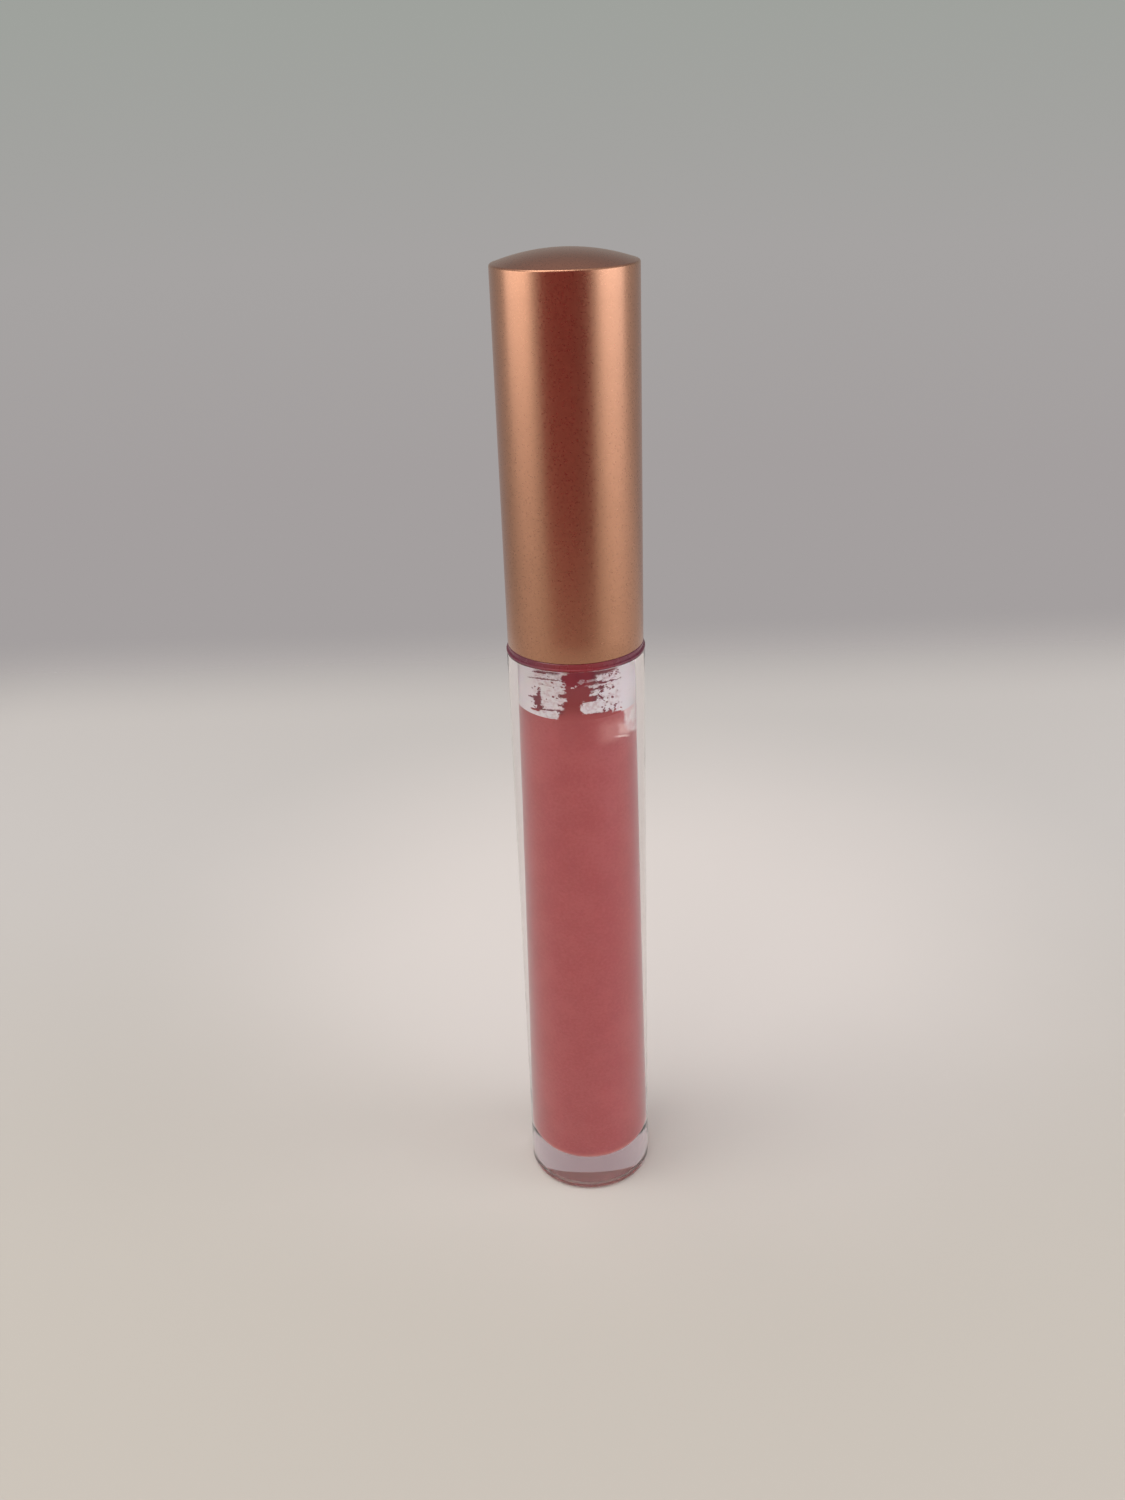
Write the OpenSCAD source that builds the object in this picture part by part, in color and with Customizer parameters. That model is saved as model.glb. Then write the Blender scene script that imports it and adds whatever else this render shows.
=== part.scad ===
// Lip gloss tube: a clear thick-walled bottle with a screw cap that carries the wand.
// Millimetres. +Z is up, and the origin is at the middle of the face that the bottle stands on.

/* [Bottle] */
// Outside diameter of the bottle
bottle_d = 16.2; // [15:0.1:18]
// Height of the bottle from its foot to its shoulder, without the neck
body_h = 76; // [65:0.1:85]
// Diameter of the straight bore that holds the gloss
bore_d = 8.9; // [8:0.1:9]
// Thickness of the clear base under the bore
base_t = 3.6; // [2.5:0.1:8]
// Radius of the rounded heel
heel_r = 0.6; // [0.3:0.1:1]
// Radius of the rounded shoulder edge
shoulder_r = 0.2; // [0.1:0.05:0.6]
// Diameter of the shallow hollow under the foot
hollow_d = 12.4; // [8:0.2:13]
// Depth of the shallow hollow under the foot
hollow_depth = 0.3; // [0.1:0.05:0.6]

/* [Neck and thread] */
// Outside diameter of the neck, without its thread
neck_d = 10.8; // [10.6:0.1:11]
// Height of the neck above the shoulder
neck_h = 11; // [10:0.5:12]
// Rise of the thread in one turn
thread_pitch = 2.5; // [2.4:0.1:2.8]
// Turns of thread on the neck and in the cap
thread_turns = 1.25; // [1:0.05:1.4]
// How far each thread stands out
thread_depth = 0.75; // [0.6:0.05:0.8]

/* [Wiper] */
// How far the wiper's sleeve reaches below the shoulder
wiper_reach = 7; // [5:0.1:10]
// Thickness of the wiper's sleeve
wiper_wall = 0.7; // [0.5:0.05:0.9]
// Height of the tapering part of the wiper
wiper_cone_h = 5; // [4:0.5:7]
// Diameter of the hole that wipes the wand
orifice_d = 4.6; // [4.5:0.05:5]

/* [Wand] */
// Diameter of the wand's round stem
rod_d = 4; // [3.6:0.1:4.1]
// Height of the wand's tip above the floor of the bore
tip_clearance = 7; // [4:0.5:15]
// Length of the flocked tip
flock_len = 14; // [11:0.5:18]
// Largest diameter of the flocked tip
flock_d = 4.3; // [4:0.05:4.3]
// Thickness of the flock on its core
flock_t = 0.5; // [0.3:0.05:0.7]
// Lean of the tip's flat from the axis of the wand, in degrees
tip_slant = 24; // [15:1:35]

/* [Cap] */
// Outside diameter of the metal shell
shell_d = 15.9; // [15.4:0.1:17]
// Wall of the metal shell
shell_t = 0.4; // [0.3:0.05:0.5]
// Overall height of the closed tube
total_h = 120.4; // [112:0.1:128]
// Rise of the dome above the shell's rim
dome_h = 1.3; // [0.5:0.1:3]
// Radius of the edge between the shell's side and its dome
rim_r = 0.3; // [0.2:0.05:0.8]
// Height of the collar that shows under the shell
collar_h = 0.9; // [0.7:0.05:2]
// Diameter of the lip round the bottom of the collar
collar_d = 16.3; // [16.2:0.05:18]
// Gap between the collar and the bottle's shoulder
collar_gap = 0.1; // [0.1:0.05:0.3]
// Thickness of the sealing ring
seal_t = 1.2; // [0.8:0.1:1.6]

/* [Hidden] */
$fn = 96;

// Bottle and neck
bottle_r = bottle_d / 2;
bore_r = bore_d / 2;
neck_r = neck_d / 2;
neck_top = body_h + neck_h;
bore_corner_r = 0.8;
foot_edge_r = 0.2;
lip_r = 0.2;

// Thread: the cap's ridge runs half a pitch under the neck's ridge
thread_z = body_h + 3.2;
ridge_root_w = 1.05;
ridge_crest_w = 0.5;
ridge_sink = 0.25;
ridge_fade = 40;
steps_per_turn = 24;

// Wiper
flange_t = 0.8;
flange_r = neck_r - 0.1;
sleeve_r = bore_r - 0.01;
sleeve_bottom = body_h - wiper_reach;
orifice_r = orifice_d / 2;
cone_wall = 0.55;
wiper_bottom = sleeve_bottom - wiper_cone_h;
gloss_gap = 0.05;

// Wand
rod_r = rod_d / 2;
tip_z = base_t + tip_clearance;
rod_bottom = tip_z + flock_len;
rod_top_in_socket = 12;
flock_r = flock_d / 2;
core_r = flock_r - flock_t;
peg_r = 1;
peg_len = 6;
peg_gap = 0.05;
groove_depth = 0.2;
groove_w = 1.2;
channel_r = flock_r + 0.35;

// Cap
shell_r = shell_d / 2;
shell_bottom = body_h + collar_gap + collar_h;
shell_inner_r = shell_r - shell_t;
rim_z = total_h - dome_h;
cap_bore_r = neck_r + thread_depth + 0.3;
barrel_r = shell_inner_r - 0.3;
barrel_top = rim_z - 1.2;
barrel_inner_r = barrel_r - 0.9;
rib_count = 8;
rib_w = 0.9;
rib_r = shell_inner_r - 0.02;
seal_z = neck_top + flange_t;
plate_z = seal_z + seal_t;
plate_t = 1.8;
boss_r = rod_r + 1.5;
socket_r = rod_r + 0.06;
boss_h = rod_top_in_socket + 2.5;
web_t = 0.8;
web_h = 9;
seal_r = cap_bore_r - 0.3;
seal_hole_r = rod_r + 0.9;

// Points along part of a circle, from angle a0 to angle a1
function arc(x, y, r, a0, a1, n) =
    [for (i = [0:n]) let (a = a0 + (a1 - a0) * i / n) [x + r * cos(a), y + r * sin(a)]];

// Share of a ridge's full height at angle a: it grows and fades at its two ends
function fade(a, last) = min(1, a / ridge_fade, (last - a) / ridge_fade);

// Corners of the ridge's section at angle a; out is 1 for a neck thread and -1 for a cap thread
function ridge_section(a, r, out, z, last) =
    let (
        root = r - out * ridge_sink,
        crest = r + out * (thread_depth * fade(a, last) - 0.1 * (1 - fade(a, last))),
        h = z + thread_pitch * a / 360
    )
    [for (c = [[root, -ridge_root_w], [crest, -ridge_crest_w], [crest, ridge_crest_w], [root, ridge_root_w]])
        [c[0] * cos(a), c[0] * sin(a), h + c[1] / 2]];

// A right-hand thread ridge on a round wall of radius r
module ridge(r, out, z) {
    last = thread_turns * 360;
    n = ceil(thread_turns * steps_per_turn);
    points = [for (i = [0:n]) each ridge_section(last * i / n, r, out, z, last)];
    side = [for (i = [0:n - 1], k = [0:3])
        let (a = 4 * i + k, b = 4 * i + (k + 1) % 4)
        each [[a, b, b + 4], [a, b + 4, a + 4]]];
    ends = [[3, 2, 1], [3, 1, 0], [4 * n, 4 * n + 1, 4 * n + 2], [4 * n, 4 * n + 2, 4 * n + 3]];
    faces = concat(side, ends);
    flipped = [for (f = faces) [f[2], f[1], f[0]]];
    polyhedron(points, out > 0 ? faces : flipped, convexity = 4);
}

// Half of the bottle's section, from the axis under the foot round to the bore's floor
module bottle_section() {
    foot_r = hollow_d / 2;
    polygon(concat(
        [[0, hollow_depth], [foot_r - foot_edge_r, hollow_depth], [foot_r + foot_edge_r, 0]],
        arc(bottle_r - heel_r, heel_r, heel_r, -90, 0, 8),
        arc(bottle_r - shoulder_r, body_h - shoulder_r, shoulder_r, 0, 90, 6),
        [[neck_r, body_h]],
        arc(neck_r - lip_r, neck_top - lip_r, lip_r, 0, 90, 3),
        [[bore_r, neck_top], [bore_r, base_t + bore_corner_r]],
        arc(bore_r - bore_corner_r, base_t + bore_corner_r, bore_corner_r, 0, -90, 8),
        [[0, base_t]]
    ));
}

module bottle() {
    color([0.9, 0.86, 0.88, 0.4])
    union() {
        rotate_extrude() bottle_section();
        ridge(neck_r, 1, thread_z);
    }
}

// Flange on the neck's rim, sleeve pressed in the bore, and a cone down to the wiping hole
module wiper() {
    inner_r = sleeve_r - wiper_wall;
    color([0.93, 0.91, 0.9])
    rotate_extrude()
    polygon([
        [flange_r, neck_top], [flange_r, neck_top + flange_t - 0.2], [flange_r - 0.2, neck_top + flange_t],
        [inner_r + 0.3, neck_top + flange_t], [inner_r, neck_top + flange_t - 0.3],
        [inner_r, sleeve_bottom + 0.4], [orifice_r, wiper_bottom + 0.9], [orifice_r, wiper_bottom],
        [orifice_r + cone_wall, wiper_bottom], [orifice_r + cone_wall, wiper_bottom + 0.6],
        [sleeve_r - 0.15, sleeve_bottom - 0.1], [sleeve_r, sleeve_bottom + 0.1], [sleeve_r, neck_top]
    ]);
}

// The gloss in the bore, with the room that the wand takes up left open
module gloss_fill() {
    top = sleeve_bottom - 0.12;
    clear_r = orifice_r + cone_wall + gloss_gap;
    clear_z = wiper_bottom - gloss_gap;
    color([0.62, 0.16, 0.16])
    rotate_extrude()
    polygon(concat(
        [[0, base_t], [bore_r - bore_corner_r, base_t]],
        arc(bore_r - bore_corner_r, base_t + bore_corner_r, bore_corner_r, -90, 0, 8),
        [[bore_r, top], [sleeve_r - 0.15 + gloss_gap, top], [clear_r, wiper_bottom + 0.6], [clear_r, clear_z],
            [channel_r, clear_z], [channel_r, tip_z - 0.6], [0, tip_z - 0.6]]
    ));
}

// Loose sealing ring on the rim of the neck
module seal_ring() {
    bevel = 0.15;
    color([0.9, 0.9, 0.88])
    rotate_extrude()
    polygon([
        [seal_hole_r, seal_z], [seal_r - bevel, seal_z], [seal_r, seal_z + bevel],
        [seal_r, seal_z + seal_t - bevel - 0.05], [seal_r - bevel, seal_z + seal_t - 0.05],
        [seal_hole_r, seal_z + seal_t - 0.05]
    ]);
}

// Round stem with a groove for the cap's snap bead and a bore for the applicator's peg
module wand_rod() {
    top = plate_z + rod_top_in_socket;
    groove_z = plate_z + 8;
    bore_top = rod_bottom + peg_len + 0.3;
    color([0.16, 0.12, 0.13])
    rotate_extrude()
    polygon([
        [peg_r + peg_gap, rod_bottom], [rod_r - 0.15, rod_bottom], [rod_r, rod_bottom + 0.15],
        [rod_r, groove_z], [rod_r - groove_depth, groove_z + 0.2],
        [rod_r - groove_depth, groove_z + groove_w - 0.2], [rod_r, groove_z + groove_w],
        [rod_r, top - 0.4], [rod_r - 0.4, top], [0, top], [0, bore_top], [peg_r + peg_gap, bore_top]
    ]);
}

// Round-ended tip of radius r with the sloping flat of a doe-foot applicator, inset by t
module doe_foot(r, t, top) {
    flat_z = tip_z + 8.6;
    end_z = tip_z + t;
    cut_w = 12;
    cut_h = 20;
    difference() {
        rotate_extrude()
            polygon(concat([[0, top], [0, end_z]], arc(0, end_z + r, r, -90, 0, 8), [[r, top]]));
        translate([flock_r - t, 0, flat_z])
            rotate([0, tip_slant, 0])
            translate([0, -cut_w / 2, -cut_h])
            cube([cut_w, cut_w, cut_h]);
    }
}

module applicator_core() {
    color([0.86, 0.84, 0.82])
    union() {
        doe_foot(core_r, flock_t, rod_bottom - 0.05);
        translate([0, 0, rod_bottom - 1]) cylinder(r = peg_r, h = peg_len + 1);
    }
}

module applicator_flock() {
    color([0.78, 0.4, 0.38])
    difference() {
        doe_foot(flock_r, 0, rod_bottom - 0.35);
        doe_foot(core_r, flock_t, rod_bottom);
    }
}

// Liner of the cap: lipped collar, threaded skirt, plate over the neck, socket for the rod, and barrel
module inner_cap() {
    collar_r = collar_d / 2;
    collar_z = body_h + collar_gap;
    edge = 0.1;
    lip_top = collar_z + 0.3;
    groove_z = plate_z + 8;
    boss_top = plate_z + boss_h;
    color([0.3, 0.1, 0.14])
    union() {
        rotate_extrude()
        polygon(concat(
            [[cap_bore_r + 0.3, collar_z]],
            arc(collar_r - edge, collar_z + edge, edge, -90, 0, 4),
            arc(collar_r - edge, lip_top - edge, edge, 0, 90, 4),
            [[shell_r, lip_top + 0.04], [shell_r, shell_bottom - 0.1], [shell_r - 0.08, shell_bottom - 0.02],
                [barrel_r, shell_bottom - 0.02], [barrel_r, barrel_top], [barrel_inner_r, barrel_top],
                [barrel_inner_r, plate_z + plate_t], [boss_r, plate_z + plate_t], [boss_r, boss_top],
                [0, boss_top], [0, plate_z + rod_top_in_socket + 0.1],
                [socket_r, plate_z + rod_top_in_socket + 0.1], [socket_r, groove_z + groove_w - 0.1],
                [socket_r - 0.12, groove_z + groove_w - 0.3], [socket_r - 0.12, groove_z + 0.3],
                [socket_r, groove_z + 0.1], [socket_r, plate_z + 0.3], [socket_r + 0.3, plate_z],
                [cap_bore_r, plate_z], [cap_bore_r, collar_z + 0.3]]
        ));
        ridge(cap_bore_r, -1, thread_z - thread_pitch / 2);
        for (i = [0:3])
            rotate([0, 0, 90 * i])
            translate([boss_r - 0.3, -web_t / 2, plate_z + plate_t - 0.1])
            cube([barrel_inner_r - boss_r + 0.6, web_t, web_h]);
        for (i = [0:rib_count - 1])
            rotate([0, 0, 360 * (i + 0.5) / rib_count])
            translate([barrel_r - 0.3, -rib_w / 2, shell_bottom + 1.5])
            cube([rib_r - barrel_r + 0.3, rib_w, barrel_top - shell_bottom - 3]);
    }
}

// Height at radius r of a dome that meets the wall of radius rw at height z and rises by h
function dome_z(r, rw, z, h) =
    let (big_r = (rw * rw + h * h) / (2 * h)) z + h - big_r + sqrt(big_r * big_r - r * r);

// Drawn metal shell over the liner, with a shallow dome and a crisp rim
module cap_shell() {
    steps = 16;
    outer_dome = [for (i = [0:steps]) let (r = (shell_r - rim_r) * (1 - i / steps))
        [r, dome_z(r, shell_r - rim_r, rim_z, dome_h)]];
    inner_dome = [for (i = [0:steps]) let (r = (shell_inner_r - 0.15) * i / steps)
        [r, dome_z(r, shell_r - rim_r, rim_z, dome_h) - shell_t]];
    color([0.72, 0.47, 0.36])
    rotate_extrude()
    polygon(concat(
        [[shell_inner_r, shell_bottom], [shell_r - 0.08, shell_bottom], [shell_r, shell_bottom + 0.08]],
        arc(shell_r - rim_r, rim_z - rim_r, rim_r, 0, 80, 6),
        outer_dome,
        inner_dome,
        [[shell_inner_r, rim_z - shell_t - 0.3]]
    ));
}

bottle();
wiper();
gloss_fill();
seal_ring();
wand_rod();
applicator_core();
applicator_flock();
inner_cap();
cap_shell();
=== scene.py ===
import math
import random

import bmesh
import bpy
from mathutils import Matrix, Vector


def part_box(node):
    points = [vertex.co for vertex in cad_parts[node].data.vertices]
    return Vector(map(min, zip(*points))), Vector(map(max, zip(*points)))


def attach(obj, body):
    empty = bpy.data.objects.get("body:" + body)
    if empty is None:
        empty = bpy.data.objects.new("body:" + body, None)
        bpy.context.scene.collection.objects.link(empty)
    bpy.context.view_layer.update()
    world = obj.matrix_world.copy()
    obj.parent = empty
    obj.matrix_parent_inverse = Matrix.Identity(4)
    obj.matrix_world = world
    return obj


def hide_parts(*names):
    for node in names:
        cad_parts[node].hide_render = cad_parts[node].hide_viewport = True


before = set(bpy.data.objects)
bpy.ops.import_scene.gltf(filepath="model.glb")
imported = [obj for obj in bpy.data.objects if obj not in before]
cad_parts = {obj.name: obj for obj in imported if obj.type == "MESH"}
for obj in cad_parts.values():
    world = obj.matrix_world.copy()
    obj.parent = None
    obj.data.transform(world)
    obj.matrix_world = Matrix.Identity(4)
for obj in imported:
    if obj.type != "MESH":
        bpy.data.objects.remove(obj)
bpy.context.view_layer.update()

# ---------------------------------------------------------------- sizes
# Lengths are millimetres until a mesh is made, where MM turns them to metres.
MM = 0.001


def node_box(name):
    """Lowest and highest corner of a CAD node, in millimetres."""
    low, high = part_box(name)
    return low / MM, high / MM


bottle_high = node_box("bottle")[1]
wiper_low, wiper_high = node_box("wiper")
gloss_low, gloss_high = node_box("gloss_fill")
liner_low = node_box("inner_cap")[0]
shell_low, shell_high = node_box("cap_shell")
rod_low = node_box("wand_rod")[0]
flock_low, flock_high = node_box("applicator_flock")

# The bottle and its neck
BOTTLE_R = bottle_high.x
NECK_TOP = bottle_high.z
NECK_R = 5.4
HEEL_R = 0.6
HOLLOW_R = 6.2
HOLLOW_DEPTH = 0.3
BORE_R = gloss_high.x
BORE_FLOOR = gloss_low.z
BORE_CORNER_R = 0.7
# The CAD's gap between the shoulder and the cap's collar
COLLAR_GAP = 0.1
# The clear shoulder comes closer to the collar than the CAD's, so that the gap is a thin soft line
COLLAR_LINE = 0.02
SHOULDER_Z = liner_low.z - COLLAR_LINE
SHOULDER_R = 0.05
# The gloss and the wiper wet the bore: the clear wall reaches this far into them, so no air shows between
WETTING = 0.03

# The neck's thread, whose height is measured from the CAD's shoulder
THREAD_RISE = 3.2
THREAD_Z = liner_low.z - COLLAR_GAP + THREAD_RISE
THREAD_PITCH = 2.5
THREAD_TURNS = 1.25
THREAD_DEPTH = 0.75
THREAD_ROOT_W = 1.05
THREAD_CREST_W = 0.5

# The wiper's sleeve ends this far above the top of the CAD's gloss
SLEEVE_RISE = 0.12
SLEEVE_END = gloss_high.z + SLEEVE_RISE

# The cap's metal shell
SHELL_R = shell_high.x
SHELL_T = 0.4
DOME_H = 1.3
RIM_R = 0.3
RIM_Z = shell_high.z - DOME_H

# Edges that turn less than this are shaded smooth
SMOOTH_BELOW = math.radians(32)
# A point of an outline nearer to the axis than this lies on it
ON_AXIS = 1e-6
# Corners nearer than this are one, in metres
SAME_PLACE = 1e-8


# ---------------------------------------------------------------- mesh helpers
def arc(cx, cz, r, start, end, steps):
    """Points along part of a circle, angles in degrees."""
    angles = [math.radians(start + (end - start) * i / steps) for i in range(steps + 1)]
    return [(cx + r * math.cos(a), cz + r * math.sin(a)) for a in angles]


def shade_smooth(bm):
    """Smooth faces, with the edges that turn more than SMOOTH_BELOW kept crisp."""
    for face in bm.faces:
        face.smooth = True
    for edge in bm.edges:
        edge.smooth = edge.calc_face_angle(0) < SMOOTH_BELOW


def finish_mesh(name, bm):
    """An object from a bmesh in metres, with its normals out."""
    bmesh.ops.remove_doubles(bm, verts=bm.verts, dist=SAME_PLACE)
    bmesh.ops.recalc_face_normals(bm, faces=bm.faces)
    shade_smooth(bm)
    mesh = bpy.data.meshes.new(name)
    bm.to_mesh(mesh)
    bm.free()
    piece = bpy.data.objects.new(name, mesh)
    bpy.context.scene.collection.objects.link(piece)
    return piece


def lathe(name, outline, segments):
    """A closed outline of (radius, height) turned round Z."""
    bm = bmesh.new()
    turns = [2 * math.pi * k / segments for k in range(segments)]
    rings = []
    for r, z in outline:
        if r < ON_AXIS:
            rings.append([bm.verts.new((0, 0, z * MM))])
        else:
            rings.append([bm.verts.new((r * math.cos(a) * MM, r * math.sin(a) * MM, z * MM)) for a in turns])
    for here, there in zip(rings, rings[1:] + rings[:1]):
        for k in range(segments):
            loop = [here[k % len(here)], here[(k + 1) % len(here)],
                    there[(k + 1) % len(there)], there[k % len(there)]]
            corners = list(dict.fromkeys(loop))
            if len(corners) > 2:
                bm.faces.new(corners)
    return finish_mesh(name, bm)


def add_boolean(piece, operation, other):
    """Cuts the other mesh from the piece, or unites it with the piece."""
    boolean = piece.modifiers.new("boolean", "BOOLEAN")
    boolean.operation = operation
    boolean.object = other


def apply_modifiers(piece):
    """Gives the piece the mesh that its modifiers make."""
    dg = bpy.context.evaluated_depsgraph_get()
    mesh = bpy.data.meshes.new_from_object(piece.evaluated_get(dg))
    piece.modifiers.clear()
    piece.data = mesh


def thread_ridge():
    """The neck's right-hand thread ridge, sunk a little in its wall and fading out at both ends."""
    steps_per_turn = 72
    sink = 0.25
    end_sink = 0.1
    root = NECK_R - sink
    fade_turns = 40 / 360
    half_root = THREAD_ROOT_W / 2
    half_crest = THREAD_CREST_W / 2
    steps = int(THREAD_TURNS * steps_per_turn)
    bm = bmesh.new()
    rings = []
    for i in range(steps + 1):
        turn = THREAD_TURNS * i / steps
        full = min(1, turn / fade_turns, (THREAD_TURNS - turn) / fade_turns)
        crest = NECK_R + THREAD_DEPTH * full - end_sink * (1 - full)
        z = THREAD_Z + THREAD_PITCH * turn
        a = 2 * math.pi * turn
        section = [(root, -half_root), (crest, -half_crest), (crest, half_crest), (root, half_root)]
        corners = [(r * math.cos(a) * MM, r * math.sin(a) * MM, (z + dz) * MM) for r, dz in section]
        rings.append([bm.verts.new(corner) for corner in corners])
    for here, there in zip(rings, rings[1:]):
        for k in range(len(here)):
            after = (k + 1) % len(here)
            bm.faces.new([here[k], here[after], there[after], there[k]])
    bm.faces.new(rings[0])
    bm.faces.new(rings[-1])
    return finish_mesh("ridge", bm)


# ---------------------------------------------------------------- material helpers
def linear(r, g, b):
    """A colour given in the screen's 0 to 255 as linear light."""
    def one(v):
        v /= 255
        return v / 12.92 if v <= 0.04045 else ((v + 0.055) / 1.055) ** 2.4
    return one(r), one(g), one(b), 1.0


class Nodes:
    """Short calls that add nodes to a shader tree. Their inputs are plain values or other nodes' outputs."""

    def __init__(self, tree):
        self.tree = tree

    def feed(self, socket, value):
        if isinstance(value, bpy.types.NodeSocket):
            self.tree.links.new(value, socket)
        else:
            socket.default_value = value

    def node(self, kind, settings=None, **inputs):
        """A new node: settings are its properties, and inputs its sockets by name, with _ for a space."""
        made = self.tree.nodes.new(kind)
        for key, value in (settings or {}).items():
            setattr(made, key, value)
        for key, value in inputs.items():
            self.feed(made.inputs[key.replace("_", " ")], value)
        return made

    def math(self, operation, a, b=0.0, c=0.0):
        made = self.node("ShaderNodeMath", {"operation": operation})
        for socket, value in zip(made.inputs, (a, b, c)):
            self.feed(socket, value)
        return made.outputs[0]

    def map_range(self, kind, value, *limits):
        """limits: the lowest and highest value, then the lowest and highest result, by default 0 and 1."""
        made = self.node("ShaderNodeMapRange", {"interpolation_type": kind}, Value=value)
        for index, limit in enumerate(limits, 1):
            made.inputs[index].default_value = limit
        return made.outputs[0]

    def smooth(self, value, low, high, out_low=0.0, out_high=1.0):
        """value taken smoothly from low..high to out_low..out_high."""
        return self.map_range("SMOOTHSTEP", value, low, high, out_low, out_high)

    def straight(self, value, low, high):
        """value taken evenly from low..high to 0..1."""
        return self.map_range("LINEAR", value, low, high)

    def vector(self, x, y, z):
        return self.node("ShaderNodeCombineXYZ", X=x, Y=y, Z=z).outputs[0]

    def distance(self, place, point):
        made = self.node("ShaderNodeVectorMath", {"operation": "DISTANCE"})
        self.feed(made.inputs[0], place)
        self.feed(made.inputs[1], point)
        return made.outputs["Value"]

    def noise(self, place, scale, detail, roughness=0.5):
        made = self.node("ShaderNodeTexNoise", Vector=place, Scale=scale, Detail=detail, Roughness=roughness)
        return made.outputs["Fac"]

    def mix(self, share, a, b):
        made = self.node("ShaderNodeMix", {"data_type": "RGBA"})
        for socket, value in ((made.inputs[0], share), (made.inputs[6], a), (made.inputs[7], b)):
            self.feed(socket, value)
        return made.outputs[2]


class Paint(Nodes):
    """A node material with one Principled shader."""

    def __init__(self, name, **sockets):
        self.material = bpy.data.materials.new(name)
        self.material.use_nodes = True
        super().__init__(self.material.node_tree)
        self.tree.nodes.clear()
        self.shader = self.node("ShaderNodeBsdfPrincipled")
        output = self.node("ShaderNodeOutputMaterial")
        self.tree.links.new(self.shader.outputs[0], output.inputs[0])
        for key, value in sockets.items():
            self.set(key.replace("_", " "), value)
        self.place = self.node("ShaderNodeTexCoord").outputs["Object"]
        axes = self.node("ShaderNodeSeparateXYZ", Vector=self.place)
        self.x, self.y, self.z = axes.outputs

    def set(self, key, value):
        """Gives the shader's socket a plain value, or links it to a node's output."""
        self.feed(self.shader.inputs[key], value)

    def bump(self, height, distance, strength):
        made = self.node("ShaderNodeBump", Height=height, Distance=distance, Strength=strength)
        self.set("Normal", made.outputs[0])

    def front_angle(self):
        """Angle round the axis, 0 at the side that faces -Y and growing towards +X, in radians."""
        return self.math("ARCTAN2", self.x, self.math("MULTIPLY", self.y, -1.0))

    def along_bore(self):
        """How far round the bore's wall from the front, in millimetres."""
        return self.math("MULTIPLY", self.front_angle(), BORE_R)

    def reach(self, across, up):
        """Below 1 in a rounded rectangle whose half sides are 1, and growing fast outside it."""
        return self.math("ADD", self.math("POWER", across, 4.0), self.math("POWER", up, 4.0))


def finish_piece(piece, paint, body, slot, *nodes):
    """Gives a piece its material and body, and hides the CAD nodes it stands for. slot is not used."""
    piece.data.materials.clear()
    piece.data.materials.append(paint.material)
    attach(piece, body)
    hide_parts(*nodes)


def repaint(node, paint):
    """Gives a CAD node that stays its material."""
    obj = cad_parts[node]
    obj.data.materials.clear()
    obj.data.materials.append(paint.material)


# ---------------------------------------------------------------- materials
GLOSS_RED = linear(188, 88, 89)
GLOSS_DEEP = linear(179, 76, 78)
# Stands in a patch's row for the mottled colour of the painted air-pocket reflection
POCKET_REFLECTION = None
# Where the gloss under the sleeve is deeper or paler, the air pocket where it has drawn back from the wall,
# with its reflection painted as pale mottled colour, and a painted highlight at the pocket's lower edge, in
# millimetres. Each patch: how far round the bore from the front and how far below the sleeve's end its middle
# lies, its half width, its half height, how soft its edge is, how much it drops towards the right, how much
# of its colour it takes, and that colour.
PATCHES = [
    (-0.3, 1.0, 1.6, 2.4, 0.7, 0.0, 0.35, linear(168, 66, 68)),
    (3.9, 1.9, 1.6, 1.2, 0.6, 0.0, 0.5, linear(226, 158, 152)),
    (5.4, 2.3, 0.85, 0.7, 0.55, 0.3, 0.75, linear(246, 204, 196)),
    # the air pocket: its reflection painted as pale mottled colour
    (8.0, 0.9, 2.65, 2.7, 0.1, 0.3, 1.0, POCKET_REFLECTION),
    # a painted highlight along the air pocket's lower edge
    (5.0, 3.12, 0.9, 0.11, 0.7, 0.33, 0.85, linear(255, 228, 220)),
]


def clear_plastic():
    """Polished clear wall with a faint ripple."""
    p = Paint("clear_plastic", Base_Color=(0.965, 0.915, 0.925, 1), Roughness=0.015, IOR=1.5,
              Transmission_Weight=1.0)
    ripple = p.noise(p.place, scale=130.0, detail=1.0)
    p.bump(ripple, distance=0.00004, strength=0.5)
    return p


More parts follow.
